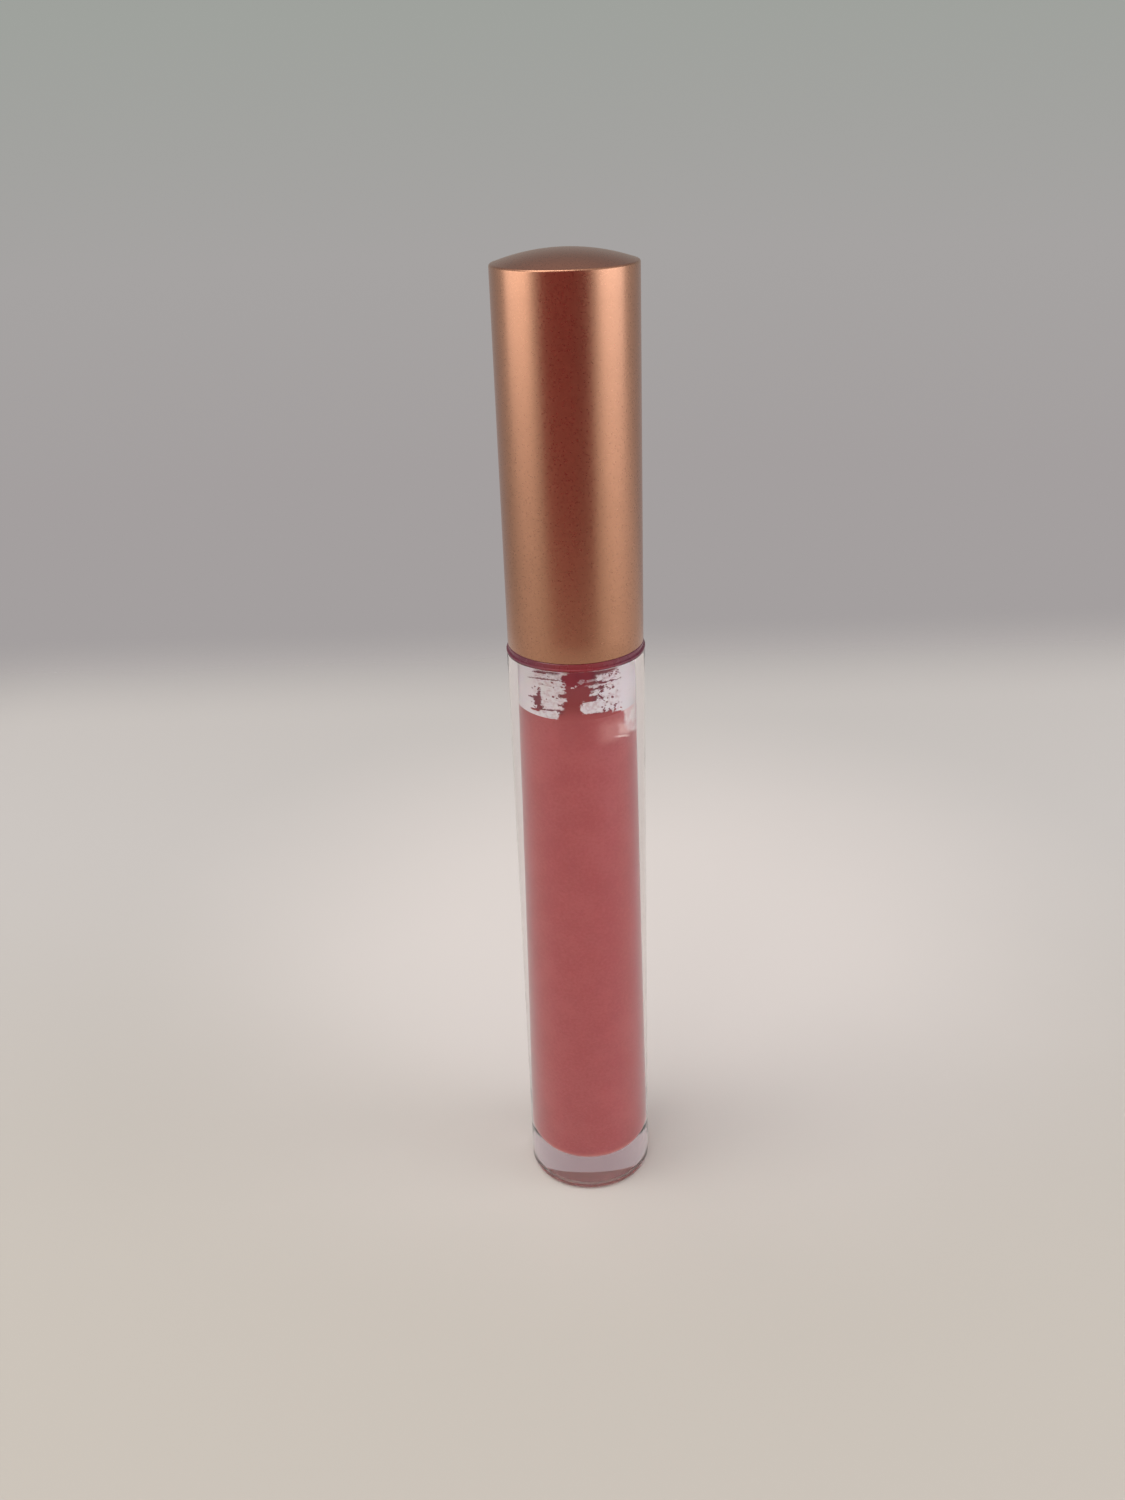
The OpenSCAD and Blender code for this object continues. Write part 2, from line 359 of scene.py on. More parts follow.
def red_gloss():
    """Creamy gloss, with painted reflections: a pale mottled air pocket where it has drawn back from the wall
    under the wiper, a highlight at the pocket's lower edge, and a paler foot near the bore's floor.
    """
    p = Paint("red_gloss", Roughness=0.42, Specular_IOR_Level=0.12, IOR=1.46,
              Subsurface_Weight=0.12, Subsurface_Scale=0.0012,
              Sheen_Weight=1.0, Sheen_Roughness=0.52, Sheen_Tint=(0.9, 0.85, 0.85, 1))
    clouds = p.noise(p.place, scale=240.0, detail=3.0)
    pearl = p.noise(p.place, scale=3200.0, detail=1.0)
    tone = p.math("MULTIPLY_ADD", pearl, 0.45, p.math("MULTIPLY", clouds, 0.55))
    body = p.mix(p.smooth(tone, 0.35, 0.65), GLOSS_DEEP, GLOSS_RED)
    pocket_mottle = p.noise(p.place, scale=700.0, detail=2.0)
    pocket_reflection_colour = p.mix(p.smooth(pocket_mottle, 0.35, 0.65), linear(242, 212, 210), linear(255, 248, 244))
    ragged = p.noise(p.place, scale=1100.0, detail=4.0, roughness=0.6)
    bend = p.math("MULTIPLY_ADD", ragged, 0.9, -0.45)
    along = p.math("ADD", p.along_bore(), bend)
    down = p.math("ADD", p.math("MULTIPLY_ADD", p.z, -1 / MM, SLEEVE_END), bend)
    for u, v, half_u, half_v, edge, drop, share, colour in PATCHES:
        across = p.math("DIVIDE", p.math("SUBTRACT", along, u), half_u)
        below = p.math("DIVIDE", p.math("SUBTRACT", down, v), half_v)
        below = p.math("MULTIPLY_ADD", across, -drop * half_u / half_v, below)
        inside = p.smooth(p.math("POWER", p.reach(across, below), 0.25), 1 + edge, 1 - edge)
        body = p.mix(p.math("MULTIPLY", inside, share), body, colour or pocket_reflection_colour)
    # Painted reflection: the gloss is paler near the bore's floor
    foot_top = (BORE_FLOOR + 1.1) * MM
    foot_full = (BORE_FLOOR + 0.2) * MM
    foot = p.math("MULTIPLY", p.smooth(p.z, foot_top, foot_full), 0.45)
    p.set("Base Color", p.mix(foot, body, linear(224, 146, 138)))
    return p


# Gloss smeared between the wiper's sleeve and the bore, in millimetres. Each mark: how far round the sleeve
# from the front and how far above the sleeve's end its middle lies, its half width, its half height, and how
# much it climbs towards the right.
SMEARS = [
    # the band under the shoulder
    (-3.2, 7.3, 1.9, 1.6, 0.0),
    (2.0, 7.1, 2.9, 1.6, 0.03),
    (-3.9, 5.62, 0.9, 0.1, 0.1),
    # the column at the front, and its ragged left edge
    (-0.2, 4.2, 1.0, 1.9, 0.0),
    (-0.4, 1.6, 0.98, 1.2, 0.0),
    (-0.2, 0.2, 1.7, 0.6, 0.0),
    (-1.2, 5.3, 0.35, 0.4, 0.0),
    (-1.4, 3.15, 0.4, 0.25, 0.0),
    (-1.5, 1.95, 0.5, 0.13, 0.0),
    (-1.6, 1.2, 0.45, 0.18, 0.0),
    (-1.3, 0.45, 0.6, 0.6, 0.0),
    (-2.2, 0.0, 1.0, 0.15, 0.0),
    # two long streaks and a star-shaped bare place at the left
    (-3.0, 4.98, 1.3, 0.075, 0.08),
    (-4.8, 4.7, 0.8, 0.05, 0.2),
    (-4.05, 3.35, 0.14, 0.45, 0.0),
    (-4.1, 2.8, 0.27, 0.4, 0.0),
    (-4.35, 2.3, 0.55, 0.33, 0.0),
    (-5.0, 2.27, 0.6, 0.11, 0.05),
    (-4.3, 1.75, 0.5, 0.4, 0.0),
    (-4.0, 1.3, 0.4, 0.3, 0.0),
    (-4.6, 0.82, 0.65, 0.14, 0.1),
    (-3.4, 1.13, 1.2, 0.075, 0.15),
    (-2.3, 1.33, 0.4, 0.055, 0.1),
    # the column's right edge, and a long streak from it
    (1.1, 5.05, 0.85, 0.65, 0.0),
    (1.6, 4.62, 1.0, 0.14, 0.05),
    (3.0, 4.48, 1.0, 0.11, -0.03),
    (4.3, 4.4, 0.7, 0.055, -0.08),
    (0.85, 3.6, 0.35, 0.75, 0.0),
    # islands at the right
    (1.35, 3.85, 0.3, 0.28, 0.0),
    (1.3, 3.5, 0.25, 0.15, 0.0),
    (1.95, 3.88, 0.3, 0.13, 0.1),
    (2.42, 3.95, 0.28, 0.23, 0.0),
    (2.5, 3.5, 0.18, 0.16, 0.0),
    (3.15, 3.75, 0.3, 0.1, -0.6),
    (0.95, 2.75, 0.4, 0.4, 0.0),
    (1.5, 2.72, 0.45, 0.36, 0.0),
    (2.32, 2.82, 0.34, 0.21, -1.0),
    # the foot of the column, and the teeth along it
    (1.3, 0.3, 1.4, 0.6, 0.0),
    (2.6, 0.2, 1.2, 0.6, 0.0),
    (3.6, 0.1, 1.2, 0.4, -0.1),
    (4.7, 0.0, 0.5, 0.2, -0.3),
    (2.68, 1.05, 0.1, 0.28, 0.0),
    (3.36, 0.8, 0.14, 0.36, 0.0),
    (3.93, 0.95, 0.12, 0.5, 0.0),
    (4.1, 1.35, 0.28, 0.07, 0.0),
]
# Where the smear was wiped off again, and where only a thin film of it is left.
BARE_SPOTS = [
    (0.75, 1.65, 0.52, 0.42, 0.0),
    (1.4, 1.66, 0.98, 0.66, 0.05),
    (-1.3, 2.6, 0.3, 0.16, 0.0),
    (-0.45, 4.2, 0.13, 0.1, 0.0),
    (-0.1, 4.35, 0.1, 0.13, 0.0),
    (-1.15, 5.88, 0.15, 0.07, 0.0),
]
THIN_SPOTS = [
    (0.42, 4.93, 0.26, 0.22, 0.0),
    (0.35, 4.78, 0.14, 0.2, 0.0),
    (1.25, 4.95, 0.36, 0.13, 0.1),
    (1.75, 5.0, 0.3, 0.1, 0.0),
    (1.5, 3.62, 0.2, 0.12, 0.0),
    (-3.9, 5.95, 0.9, 0.13, 0.05),
]
# Small round spots of gloss: place round the sleeve, height above its end, radius.
SPOTS = [
    (-2.5, 4.7, 0.11), (-2.35, 4.1, 0.08), (-1.33, 4.62, 0.11), (-1.45, 4.25, 0.13), (-1.4, 4.9, 0.09),
    (-2.42, 2.95, 0.14), (-2.0, 2.8, 0.09), (-1.8, 3.05, 0.11), (-3.15, 2.5, 0.08), (-4.6, 3.7, 0.11),
    (-4.95, 3.4, 0.09), (-3.6, 4.3, 0.07), (-2.9, 5.35, 0.07), (-4.7, 1.15, 0.11), (-5.2, 1.65, 0.08),
    (3.4, 5.13, 0.14), (3.35, 5.4, 0.09), (3.65, 5.28, 0.1), (3.75, 5.5, 0.09), (4.2, 5.1, 0.13),
    (4.25, 5.35, 0.1), (4.45, 5.5, 0.1), (4.5, 5.2, 0.09), (2.7, 5.0, 0.07), (2.9, 5.4, 0.07),
    (4.8, 4.95, 0.07), (2.95, 4.15, 0.08), (3.42, 3.5, 0.12), (3.8, 3.58, 0.16), (3.75, 3.85, 0.08),
    (3.7, 2.42, 0.14), (3.12, 2.45, 0.08), (3.0, 1.98, 0.13), (2.75, 2.2, 0.08), (2.42, 1.48, 0.12),
    (2.1, 1.42, 0.08), (2.85, 1.6, 0.07), (3.5, 1.55, 0.08), (4.3, 2.3, 0.06), (4.5, 1.5, 0.07),
    (4.85, 0.65, 0.1), (3.3, 2.95, 0.07), (4.4, 3.0, 0.06), (4.95, 1.3, 0.06), (5.0, 0.2, 0.08),
]


def milky_wiper():
    """Milky sleeve with gloss smeared behind it. up and along are millimetres on the bore's wall."""
    p = Paint("milky_wiper", Specular_IOR_Level=0.25, Subsurface_Weight=0.15, Subsurface_Scale=0.0008)
    along = p.along_bore()
    up = p.math("MULTIPLY_ADD", p.z, 1 / MM, -SLEEVE_END)

    def stretched(along_scale, up_scale, layer):
        """The wall unrolled and stretched, one layer for each noise so that they don't repeat each other."""
        return p.vector(p.math("MULTIPLY", along, along_scale), p.math("MULTIPLY", up, up_scale), layer)

    def marks(table, along_bend, up_bend):
        """1 inside any of the marks, 0 outside, with a narrow edge. The bends fray the edges."""
        bent_along = p.math("ADD", along, along_bend)
        bent_up = p.math("ADD", up, up_bend)
        nearest = None
        for u, v, half_u, half_v, climb in table:
            across = p.math("MULTIPLY_ADD", bent_along, 1 / half_u, -u / half_u)
            above = p.math("MULTIPLY_ADD", bent_up, 1 / half_v, (climb * u - v) / half_v)
            if climb:
                above = p.math("MULTIPLY_ADD", bent_along, -climb / half_v, above)
            reach = p.reach(across, above)
            nearest = reach if nearest is None else p.math("MINIMUM", nearest, reach)
        return p.smooth(nearest, 1.45, 0.65)

    brushed = p.noise(stretched(0.9, 2.8, 0.0), scale=1.8, detail=4.0, roughness=0.65)
    fringe = p.math("MULTIPLY_ADD", brushed, 0.9, -0.45)
    grains = p.noise(stretched(1.0, 1.0, 5.0), scale=5.5, detail=3.0, roughness=0.65)
    grit = p.math("MULTIPLY_ADD", grains, 0.6, -0.3)
    frayed = p.math("MULTIPLY_ADD", grit, 0.9, fringe), p.math("MULTIPLY_ADD", fringe, 0.12, grit)
    half_frayed = p.math("MULTIPLY", grit, 1.1), p.math("MULTIPLY", grit, -0.7)

    # Scratches and stain stay on the front of the sleeve, under the shoulder
    off_middle = p.math("ABSOLUTE", along)
    front = p.math("MULTIPLY", p.smooth(off_middle, 5.2, 4.0), p.smooth(up, 7.0, 6.2))
    scratches = p.noise(stretched(0.4, 4.2, 3.7), scale=1.5, detail=4.0, roughness=0.6)
    scratches = p.smooth(p.math("MULTIPLY_ADD", front, 0.1, scratches), 0.68, 0.78)
    stain = p.noise(stretched(1.0, 1.0, 9.0), scale=2.4, detail=4.0, roughness=0.6)
    stain = p.math("MULTIPLY", p.smooth(stain, 0.42, 0.66), front)

    spots = marks([(u, v, 0.9 * r, 0.85 * r, 0.0) for u, v, r in SPOTS], *half_frayed)
    loose = p.math("MAXIMUM", p.math("MULTIPLY", scratches, 0.45), spots)
    smeared = p.math("MAXIMUM", marks(SMEARS, *frayed), loose)
    smeared = p.math("MULTIPLY", smeared, p.math("SUBTRACT", 1.0, marks(BARE_SPOTS, *half_frayed)))
    smeared = p.math("MULTIPLY", smeared, p.math("MULTIPLY_ADD", marks(THIN_SPOTS, *frayed), -0.45, 1.0))

    milk = p.mix(p.math("MULTIPLY", stain, 0.75), linear(241, 237, 239), linear(215, 193, 195))
    # Painted shade: the smeared film is lighter at the sleeve's end and darker above it, towards the shade
    # under the cap's collar
    film = p.mix(p.smooth(up, 2.0, 5.8), linear(149, 48, 53), linear(152, 57, 69))
    film = p.mix(p.smooth(up, 0.0, 2.2), linear(178, 78, 79), film)
    beside = p.math("MULTIPLY", p.smooth(off_middle, 1.0, 1.9), p.smooth(up, 0.5, 1.1))
    film = p.mix(beside, film, linear(126, 50, 62))
    p.set("Base Color", p.mix(smeared, milk, film))
    p.set("Roughness", p.smooth(smeared, 0, 1, 0.5, 0.3))
    return p


def copper_shell():
    """Satin copper with a fine grain and a few darker specks."""
    p = Paint("copper_anodised", Metallic=1.0, Coat_Weight=0.4, Coat_Roughness=0.28, Coat_IOR=1.5)
    grain = p.noise(p.place, scale=14000.0, detail=2.0, roughness=0.6)
    satin = p.noise(p.place, scale=4200.0, detail=2.0, roughness=0.6)
    cloud = p.noise(p.place, scale=120.0, detail=3.0)
    tone = p.math("MULTIPLY_ADD", satin, 0.4, p.math("MULTIPLY", cloud, 0.3))
    tone = p.math("MULTIPLY_ADD", grain, 0.3, tone)
    copper = p.mix(p.smooth(tone, 0.35, 0.65), (0.462, 0.226, 0.134, 1), (0.508, 0.25, 0.15, 1))
    dust = p.node("ShaderNodeTexVoronoi", Vector=p.place, Scale=260.0, Randomness=1.0)
    rare = p.smooth(p.noise(p.place, scale=90.0, detail=0.0), 0.6, 0.7)
    speck = p.math("MULTIPLY", p.smooth(dust.outputs["Distance"], 0.03, 0.016), rare)
    p.set("Base Color", p.mix(speck, copper, (0.36, 0.17, 0.107, 1)))
    p.set("Roughness", p.smooth(satin, 0.3, 0.7, 0.27, 0.34))
    p.bump(p.math("ADD", grain, satin), distance=0.0000025, strength=0.35)
    return p


def plum_plastic():
    """Polished plum, redder at the front: a painted reflection of the dark red board in front of it."""
    p = Paint("plum_plastic", IOR=1.5)
    haze = p.noise(p.place, scale=700.0, detail=3.0)
    plum = p.mix(haze, linear(81, 32, 47), linear(99, 40, 56))
    # Painted reflection of the dark red board: redder where the collar faces the front
    front_red_reflection = p.smooth(p.math("ABSOLUTE", p.front_angle()), 0.9, 0.1)
    p.set("Base Color", p.mix(front_red_reflection, plum, linear(120, 38, 44)))
    p.set("Roughness", p.smooth(haze, 0.3, 0.7, 0.2, 0.32))
    p.bump(haze, distance=0.00001, strength=0.3)
    return p


def moulded(name, colour, roughness, grain):
    """A plain moulded plastic or foam with a fine uneven skin, finer as grain grows."""
    p = Paint(name, IOR=1.5)
    skin = p.noise(p.place, scale=grain, detail=3.0)
    darker = tuple(0.86 * c for c in colour[:3]) + (1,)
    p.set("Base Color", p.mix(skin, darker, colour))
    p.set("Roughness", p.smooth(skin, 0.3, 0.7, roughness - 0.05, roughness + 0.07))
    p.bump(skin, distance=0.00002, strength=0.4)
    return p


def coated_stem():
    """Pale stem, with gloss clinging to it in streaks that thin out upwards."""
    p = Paint("coated_stem", IOR=1.5)
    fine, long = 900.0, 90.0
    stretched = p.vector(p.math("MULTIPLY", p.x, fine), p.math("MULTIPLY", p.y, fine),
                         p.math("MULTIPLY", p.z, long))
    streak = p.noise(stretched, scale=1.0, detail=3.0)
    height = p.math("MULTIPLY_ADD", p.z, 1 / MM, -rod_low.z)
    thinning = -0.011
    cover = p.smooth(p.math("MULTIPLY_ADD", height, thinning, streak), 0.1, 0.3)
    p.set("Base Color", p.mix(cover, linear(222, 214, 210), GLOSS_RED))
    p.set("Roughness", p.smooth(cover, 0, 1, 0.35, 0.12))
    p.bump(p.math("MULTIPLY", cover, streak), distance=0.00008, strength=0.8)
    return p


def wet_flock():
    """Short fibres, clumped and shining where the gloss wets them."""
    p = Paint("wet_flock", Sheen_Weight=0.4, Sheen_Roughness=0.4, Subsurface_Weight=0.1,
              Subsurface_Scale=0.0006)
    clump = p.noise(p.place, scale=1500.0, detail=3.0)
    p.set("Base Color", p.mix(p.smooth(clump, 0.35, 0.65), linear(190, 84, 84), linear(214, 128, 122)))
    p.set("Roughness", p.smooth(clump, 0.35, 0.65, 0.25, 0.6))
    return p


# ---------------------------------------------------------------- pieces
# Steps along a long straight wall
SIDE_STEPS = 24


def build_bottle():
    """Thick-walled bottle with a shallow hollow under its foot, a straight bore and a threaded neck."""
    bore = BORE_R - WETTING
    hollow_flat_r = HOLLOW_R - 0.25
    hollow_turn_r = HOLLOW_R - 0.2
    hollow_round = 0.15
    ring_bevel_r = HOLLOW_R + 0.15
    ring_bevel_h = 0.03
    ring_r = HOLLOW_R + 0.25
    neck_fillet_r = 0.3
    neck_rim_r = 0.2
    mouth_bevel = 0.1
    outline = [(0, HOLLOW_DEPTH), (hollow_flat_r, HOLLOW_DEPTH)]
    outline += arc(hollow_turn_r, HOLLOW_DEPTH - hollow_round, hollow_round, 90, 40, 4)
    outline += [(ring_bevel_r, ring_bevel_h), (ring_r, 0.0)]
    outline += arc(BOTTLE_R - HEEL_R, HEEL_R, HEEL_R, -90, 0, 14)
    side_top = SHOULDER_Z - SHOULDER_R
    outline += [(BOTTLE_R, HEEL_R + (side_top - HEEL_R) * i / SIDE_STEPS) for i in range(1, SIDE_STEPS)]
    outline += arc(BOTTLE_R - SHOULDER_R, side_top, SHOULDER_R, 0, 90, 10)
    outline += arc(NECK_R + neck_fillet_r, SHOULDER_Z + neck_fillet_r, neck_fillet_r, -90, -180, 6)
    outline += arc(NECK_R - neck_rim_r, NECK_TOP - neck_rim_r, neck_rim_r, 0, 90, 6)
    outline += [(bore + mouth_bevel, NECK_TOP), (bore, NECK_TOP - mouth_bevel)]
    outline += [(bore, NECK_TOP + (BORE_FLOOR - NECK_TOP) * i / SIDE_STEPS) for i in range(1, SIDE_STEPS)]
    floor_z = BORE_FLOOR + WETTING
    outline += arc(bore - BORE_CORNER_R, floor_z + BORE_CORNER_R, BORE_CORNER_R, 0, -90, 12)
    outline += [(0, floor_z)]
    piece = lathe("bottle_clear", outline, 224)
    ridge = thread_ridge()
    add_boolean(piece, "UNION", ridge)
    apply_modifiers(piece)
    bpy.data.objects.remove(ridge)
    bm = bmesh.new()
    bm.from_mesh(piece.data)
    shade_smooth(bm)
    bm.to_mesh(piece.data)
    bm.free()
    finish_piece(piece, clear_plastic(), "bottle", "clear_plastic", "bottle")


def build_gloss():
    """The gloss, with a cup round the wiper's cone and a channel for the wand."""
    cone_r = 2.9
    cone_top = wiper_low.z + 0.6
    cone_end = wiper_low.z - 0.05
    channel_r = 2.5
    channel_floor = flock_low.z - 0.6
    # The gloss closes on the small bevel at the sleeve's end, so that no air shows between the two
    bevel = 0.12
    top = SLEEVE_END + bevel
    side_low = BORE_FLOOR + 2
    outline = [(0, BORE_FLOOR), (BORE_R - BORE_CORNER_R, BORE_FLOOR)]
    outline += arc(BORE_R - BORE_CORNER_R, BORE_FLOOR + BORE_CORNER_R, BORE_CORNER_R, -90, 0, 12)
    outline += [(BORE_R, side_low + (top - side_low) * i / SIDE_STEPS) for i in range(SIDE_STEPS + 1)]
    outline += [(BORE_R - bevel, SLEEVE_END - bevel), (cone_r, cone_top), (cone_r, cone_end)]
    outline += [(channel_r, cone_end), (channel_r, channel_floor), (0, channel_floor)]
    piece = lathe("gloss_body", outline, 256)
    finish_piece(piece, red_gloss(), "bottle", "red_gloss", "gloss_fill")


def build_wiper():
    """Flange on the neck, sleeve in the bore, and a cone down to the soft lip that wipes the wand."""
    slip = 0.01
    wall = 0.7
    sleeve_r = BORE_R - slip
    inner_r = sleeve_r - wall
    low = wiper_low.z
    top = wiper_high.z
    flange_r = wiper_high.x
    flange_edge_r = 0.2
    mouth_r = 0.3
    hole_r = 2.3
    lip_r = 0.27
    cone_r = hole_r + 0.55
    cone_top = SLEEVE_END + 0.4
    cone_inner_low = low + 0.9
    cone_outer_low = low + 0.6
    bevel_w = 0.15
    bevel_h = 0.1
    outline = [(flange_r, NECK_TOP)]
    outline += arc(flange_r - flange_edge_r, top - flange_edge_r, flange_edge_r, 0, 90, 5)
    outline += arc(inner_r + mouth_r, top - mouth_r, mouth_r, 90, 180, 5)
    outline += [(inner_r, cone_top), (hole_r, cone_inner_low)]
    outline += arc(hole_r + lip_r, low + lip_r, lip_r, 180, 360, 8)
    outline += [(cone_r, cone_outer_low), (sleeve_r - bevel_w, SLEEVE_END - bevel_h)]
    outline += [(sleeve_r, SLEEVE_END + bevel_h), (sleeve_r, NECK_TOP)]
    piece = lathe("wiper_sleeve", outline, 192)
    finish_piece(piece, milky_wiper(), "bottle", "milky_plastic", "wiper")


def build_shell():
    """Drawn cup with a shallow dome, open at the bottom."""
    edge_r = SHELL_R - RIM_R
    dome_radius = (edge_r * edge_r + DOME_H * DOME_H) / (2 * DOME_H)

    def dome(r):
        return RIM_Z + DOME_H - dome_radius + math.sqrt(dome_radius * dome_radius - r * r)

    inner_r = SHELL_R - SHELL_T
    inner_edge_r = inner_r - 0.15
    inner_side_top = RIM_Z - SHELL_T - 0.3
    bottom = shell_low.z
    mouth_bevel = 0.05
    mouth_edge_r = 0.1
    slope = math.degrees(math.asin(edge_r / dome_radius))
    side_steps = 16
    dome_steps = 40
    outline = [(inner_r, bottom + mouth_bevel), (inner_r + mouth_bevel, bottom)]
    outline += arc(SHELL_R - mouth_edge_r, bottom + mouth_edge_r, mouth_edge_r, -90, 0, 5)
    outline += [(SHELL_R, bottom + (RIM_Z - RIM_R - bottom) * i / side_steps) for i in range(1, side_steps)]
    outline += arc(edge_r, RIM_Z - RIM_R, RIM_R, 0, 90 - slope, 10)
    over = [edge_r * (1 - i / dome_steps) for i in range(1, dome_steps + 1)]
    under = [inner_edge_r * i / side_steps for i in range(side_steps + 1)]
    outline += [(r, dome(r)) for r in over]
    outline += [(r, dome(r) - SHELL_T) for r in under]
    outline += [(inner_r, inner_side_top)]
    piece = lathe("cap_shell_copper", outline, 224)
    finish_piece(piece, copper_shell(), "cap", "copper_anodised", "cap_shell")


def doe_foot():
    """The tip's soft body: a round-ended rod with one long slanted flat that faces +X."""
    r = flock_high.x
    low, high = flock_low.z, flock_high.z
    core_r = 1.66
    core_floor = high - 0.5
    side_low = low + r
    side_steps = 30
    outline = arc(0, side_low, r, -90, 0, 14)
    outline += [(r, side_low + (high - low - r) * i / side_steps) for i in range(1, side_steps + 1)]
    outline += [(core_r, high), (core_r, core_floor), (0, core_floor)]
    piece = lathe("flocked_tip", outline, 72)
    flat_top = low + 8.6
    slant = math.radians(24)
    block = 12
    cutter_bm = bmesh.new()
    bmesh.ops.create_cube(cutter_bm, size=block * MM)
    to_corner = Matrix.Translation(Vector((block / 2, 0, -block / 2)) * MM)
    to_flat = Matrix.Translation(Vector((r, 0, flat_top)) * MM)
    place = to_flat @ Matrix.Rotation(slant, 4, "Y") @ to_corner
    bmesh.ops.transform(cutter_bm, matrix=place, verts=cutter_bm.verts)
    cutter = finish_mesh("cutter", cutter_bm)
    add_boolean(piece, "DIFFERENCE", cutter)
    remesh = piece.modifiers.new("even", "REMESH")
    remesh.mode = "VOXEL"
    remesh.voxel_size = 0.14 * MM
    soften = piece.modifiers.new("soften", "SMOOTH")
    soften.factor = 0.6
    soften.iterations = 6
    apply_modifiers(piece)
    bpy.data.objects.remove(cutter)
    return piece


def add_fibre(bm, face, rng):
    """One short hair: a thin three-sided spike with its root sunk in the face."""
    lean = 0.35
    shortest, longest = 0.12, 0.24
    half_width = 0.022
    root_depth = 0.05
    third_turn = math.radians(120)
    root = face.calc_center_median()
    out = (face.normal + Vector([rng.uniform(-lean, lean) for _ in range(3)])).normalized()
    side = out.orthogonal().normalized() * half_width * MM
    tip = root + out * rng.uniform(shortest, longest) * MM
    foot = root - out * root_depth * MM
    base = [foot + Matrix.Rotation(third_turn * k, 3, out) @ side for k in range(3)]
    corners = [bm.verts.new(v) for v in base + [tip]]
    for k in range(3):
        bm.faces.new([corners[k], corners[(k + 1) % 3], corners[3]])
    bm.faces.new(corners[2::-1])


def build_flock():
    """Doe-foot tip with short fibres standing off it."""
    fibres = 5200
    rng = random.Random(7)
    piece = doe_foot()
    bm = bmesh.new()
    bm.from_mesh(piece.data)
    faces = list(bm.faces)
    for face in rng.sample(faces, min(len(faces), fibres)):
        add_fibre(bm, face, rng)
    for face in bm.faces:
        face.smooth = True
    bm.to_mesh(piece.data)
    bm.free()
    finish_piece(piece, wet_flock(), "cap", "flock", "applicator_flock")


build_bottle()
build_gloss()
build_wiper()
build_shell()
build_flock()
repaint("inner_cap", plum_plastic())
repaint("seal_ring", moulded("seal_foam", linear(226, 222, 212), 0.6, 2600.0))
repaint("wand_rod", coated_stem())
repaint("applicator_core", moulded("core_plastic", linear(222, 214, 208), 0.4, 1500.0))


# ---------------------------------------------------------------- studio
# Lengths in the studio are metres. The table lies just under the foot.
FLOOR_Z = -0.00002


def stage_plane(name, corners, paint):
    """A flat sheet of the studio, not a piece of the object."""
    bm = bmesh.new()
    bm.faces.new([bm.verts.new(c) for c in corners])
    mesh = bpy.data.meshes.new(name)
    bm.to_mesh(mesh)
    bm.free()
    obj = bpy.data.objects.new(name, mesh)
    bpy.context.scene.collection.objects.link(obj)
    obj.data.materials.append(paint.material)
    return obj


def build_floor():
    """Pale table, with a painted pool of light behind the tube and painted shade near the camera and far
    to the left. Its far edge and its rim fade softly into the room.
    """
    near_colour, far_colour = (0.478, 0.446, 0.397, 1), (0.508, 0.486, 0.462, 1)
    lit_pool_colour, left_shade_colour = (0.625, 0.583, 0.552, 1), (0.3, 0.28, 0.26, 1)
    lit_pool_middle = (0.01, 0.06, 0.0)
    p = Paint("pale_table", Roughness=0.6, Specular_IOR_Level=0.25)
    # Painted shade: darker towards the camera
    outer = p.mix(p.smooth(p.y, -0.05, 0.1), near_colour, far_colour)
    # Painted shade far to the left, beyond the picture's edge
    outer = p.mix(p.smooth(p.x, -0.13, -0.22), outer, left_shade_colour)
    # A painted pool of light behind the tube, its edge frayed by a cloud
    cloud = p.noise(p.place, scale=14.0, detail=3.0)
    from_lit_pool = p.math("MULTIPLY_ADD", cloud, 0.02, p.distance(p.place, lit_pool_middle))
    p.set("Base Color", p.mix(p.smooth(from_lit_pool, 0.11, 0.03), outer, lit_pool_colour))
    far_edge = p.smooth(p.y, 0.215, 0.15)
    rim = p.smooth(p.distance(p.place, (0.0, 0.0, 0.0)), 0.55, 0.38)
    p.set("Alpha", p.math("MULTIPLY", far_edge, rim))
    side, near, far = 1.2, -1.4, 0.22
    corners = [(-side, near, FLOOR_Z), (side, near, FLOOR_Z), (side, far, FLOOR_Z), (-side, far, FLOOR_Z)]
    stage_plane("table", corners, p)


def build_flag():
    """Dark red board behind the camera, seen only in reflections, as the photographer would be."""
    p = Paint("dark_flag", Roughness=0.9)
    p.set("Base Color", p.mix(p.smooth(p.x, 0.0, 0.07), (0.44, 0.09, 0.112, 1), (0.35, 0.078, 0.095, 1)))
    left, right, y, low, high = -0.185, 0.16, -0.2, -0.001, 0.75
    flag = stage_plane("flag", [(left, y, low), (right, y, low), (right, y, high), (left, y, high)], p)
    flag.visible_camera = False
    flag.visible_diffuse = False
    flag.visible_shadow = False
    flag.visible_transmission = False


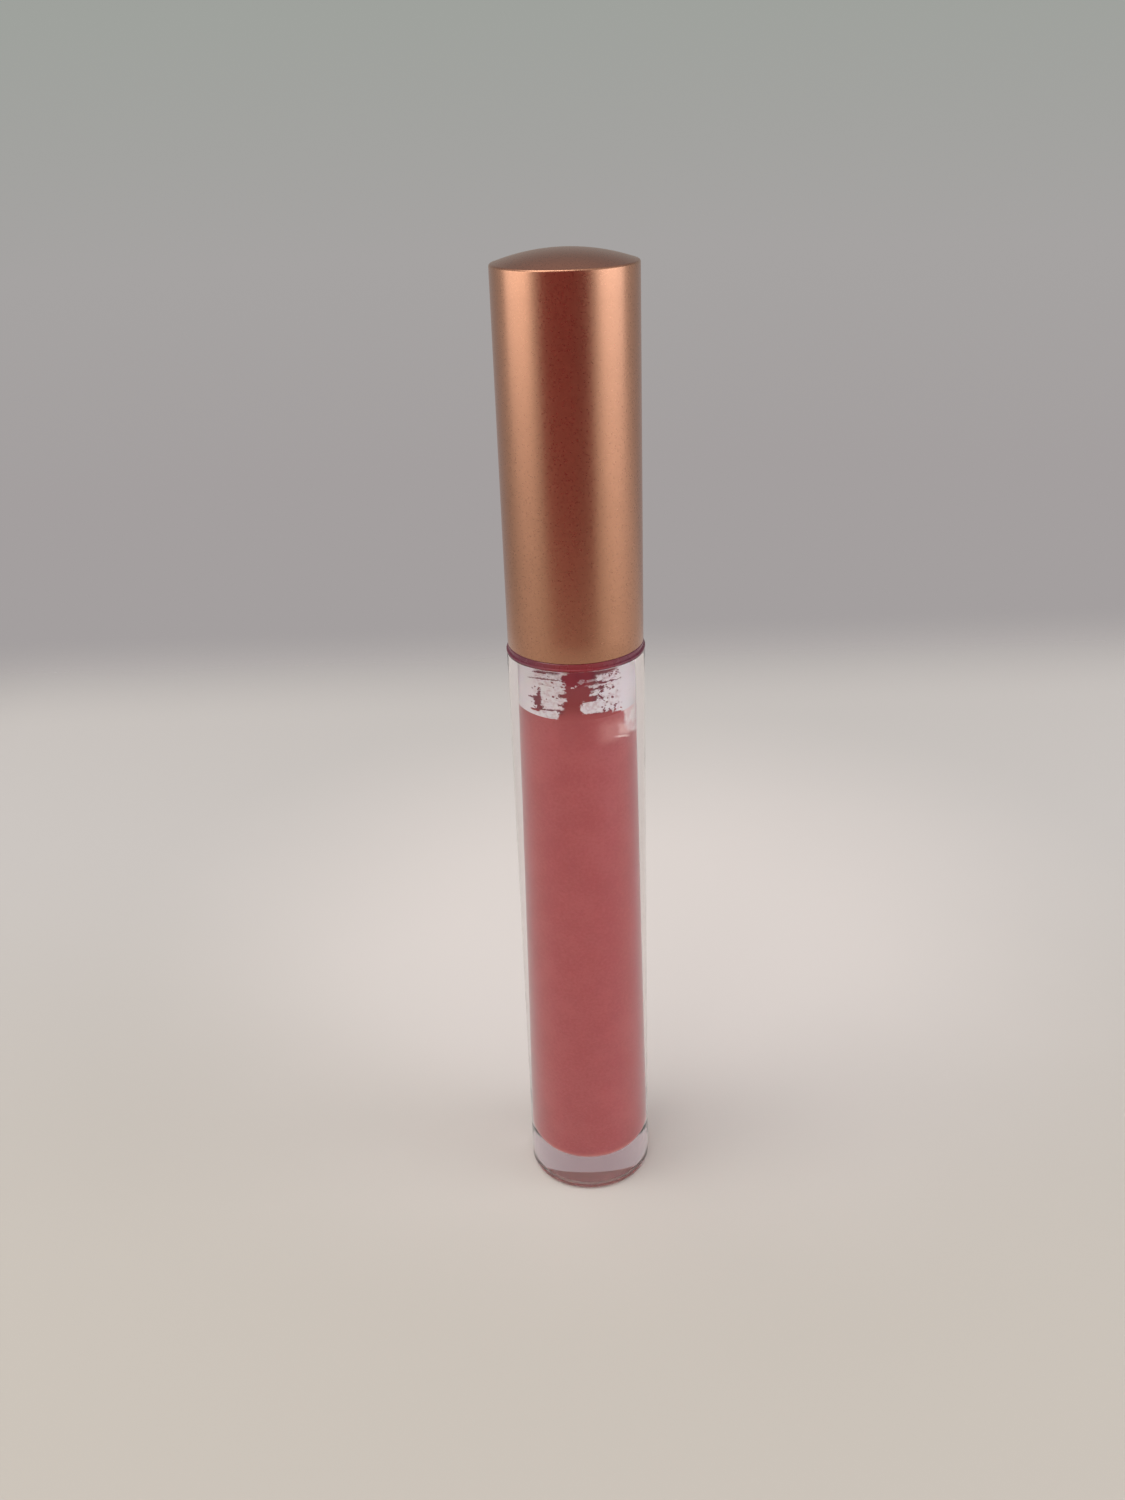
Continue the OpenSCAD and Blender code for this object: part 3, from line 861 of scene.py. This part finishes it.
def build_room():
    """Light from all round: grey behind the tube, and brighter on the side of the camera."""
    # Colour of the room by height. Each: how far up a sight line of length 1 goes, and the colour it meets
    levels = [(-0.24, linear(164, 159, 159)), (-0.1, linear(166, 163, 162)), (0.05, linear(159, 162, 157)),
              (0.3, linear(154, 152, 151)), (0.5, linear(120, 117, 118)), (0.7, linear(167, 147, 150)),
              (0.85, linear(136, 130, 131)), (1.0, linear(120, 117, 118))]
    camera_side = (0.68, 0.667, 0.662, 1)
    world = bpy.data.worlds.new("studio")
    bpy.context.scene.world = world
    world.use_nodes = True
    nodes = Nodes(world.node_tree)
    sight = nodes.node("ShaderNodeTexCoord").outputs["Generated"]
    axes = nodes.node("ShaderNodeSeparateXYZ", Vector=sight)
    ramp = nodes.node("ShaderNodeValToRGB", Fac=nodes.straight(axes.outputs["Z"], -1.0, 1.0))
    stops = ramp.color_ramp.elements
    for stop, (level, colour) in zip(stops, (levels[0], levels[-1])):
        stop.position = (level + 1) / 2
        stop.color = colour
    for level, colour in levels[1:-1]:
        stops.new((level + 1) / 2).color = colour
    to_camera = nodes.straight(axes.outputs["Y"], 0.72, -0.3)
    room = nodes.mix(to_camera, ramp.outputs["Color"], camera_side)
    nodes.feed(world.node_tree.nodes["Background"].inputs["Color"], room)


def area_light(name, place, target, size, watts, colour):
    """A flat light that faces the target and that the camera doesn't see. size is its width and height."""
    data = bpy.data.lights.new(name, "AREA")
    data.shape = "RECTANGLE"
    data.size, data.size_y = size
    data.energy = watts
    data.color = colour
    light = bpy.data.objects.new(name, data)
    light.location = place
    light.rotation_mode = "QUATERNION"
    light.rotation_quaternion = (Vector(target) - Vector(place)).to_track_quat("-Z", "Y")
    light.visible_camera = False
    bpy.context.scene.collection.objects.link(light)
    return light


def build_lights():
    """Two soft windows, a fill at each side that reflections don't show, and a ceiling light."""
    foot, low_middle, middle = (0, 0, 0), (0, 0, 0.05), (0, 0, 0.10)
    window, panel, ceiling = (0.5, 0.36), (0.3, 0.2), (0.8, 0.8)
    area_light("left_window", (-0.538, -0.114, 0.19), middle, window, 0.91, (1.0, 0.98, 0.96))
    area_light("right_window", (0.529, -0.152, 0.19), middle, window, 1.03, (0.9, 0.94, 1.0))
    for x, watts, colour in ((-0.54, 0.85, (1.0, 0.94, 0.9)), (0.54, 1.5, (0.98, 0.96, 1.0))):
        fill = area_light("fill", (x, -0.14, 0.1), low_middle, panel, watts, colour)
        fill.visible_glossy = False
    area_light("ceiling", (-0.25, -0.2, 1.0), foot, ceiling, 6.0, (1.0, 0.99, 0.98))


def build_camera():
    """Camera at the photo's place: metres back from the axis and up from the foot, angles in degrees."""
    back, height = 0.15127, 0.13539
    pitch, yaw, roll = (math.radians(v) for v in (25.688, -0.753, -2.02))
    data = bpy.data.cameras.new("camera")
    data.lens = 33.07
    data.sensor_width = 36
    data.clip_start = 0.01
    camera = bpy.data.objects.new("camera", data)
    forward = Vector((math.sin(yaw) * math.cos(pitch), math.cos(yaw) * math.cos(pitch), -math.sin(pitch)))
    level = Vector((math.cos(yaw), -math.sin(yaw), 0))
    upright = level.cross(forward)
    right = math.cos(roll) * level + math.sin(roll) * upright
    up = math.cos(roll) * upright - math.sin(roll) * level
    turn = Matrix((right, up, -forward)).transposed()
    camera.matrix_world = Matrix.Translation((0, -back, height)) @ turn.to_4x4()
    bpy.context.scene.collection.objects.link(camera)
    bpy.context.scene.camera = camera


build_floor()
build_flag()
build_room()
build_lights()
build_camera()
bpy.context.scene.view_settings.view_transform = "Standard"
